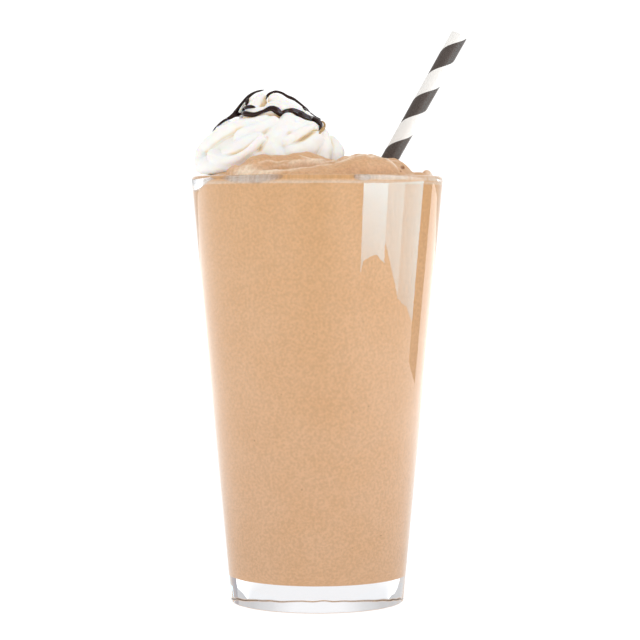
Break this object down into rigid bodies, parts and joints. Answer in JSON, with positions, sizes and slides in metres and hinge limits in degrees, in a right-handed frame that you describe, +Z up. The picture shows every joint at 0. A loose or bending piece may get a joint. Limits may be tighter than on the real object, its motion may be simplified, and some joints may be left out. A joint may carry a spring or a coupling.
{
  "type": "chocolate milkshake",
  "caption": "Tall tapered clear glass filled to a heaped top with milkshake, a swirl of whipped cream at one side and a striped paper straw leaning out at the other.",
  "frame": {"origin": "centre of the glass's flat underside, on the surface it stands on", "axes": "+Z up along the glass's axis; +X towards the side the straw leans to; -Y is the front"},
  "size_m": [0.0974, 0.0888, 0.2018],
  "materials": {
    "glass": "clear pressed soda-lime glass, fire polished",
    "milkshake": "thick, smooth and slightly glossy milk foam",
    "cream": "soft whipped dairy cream",
    "straw": "spiral-wound paper, black and white stripe, light wax coat",
    "sauce": "thin glossy chocolate sauce"
  },
  "bodies": {
    "root": {"glass": "glass", "milkshake": "milkshake", "whipped_cream": "cream", "straw": "straw"}
  },
  "joints": []
}
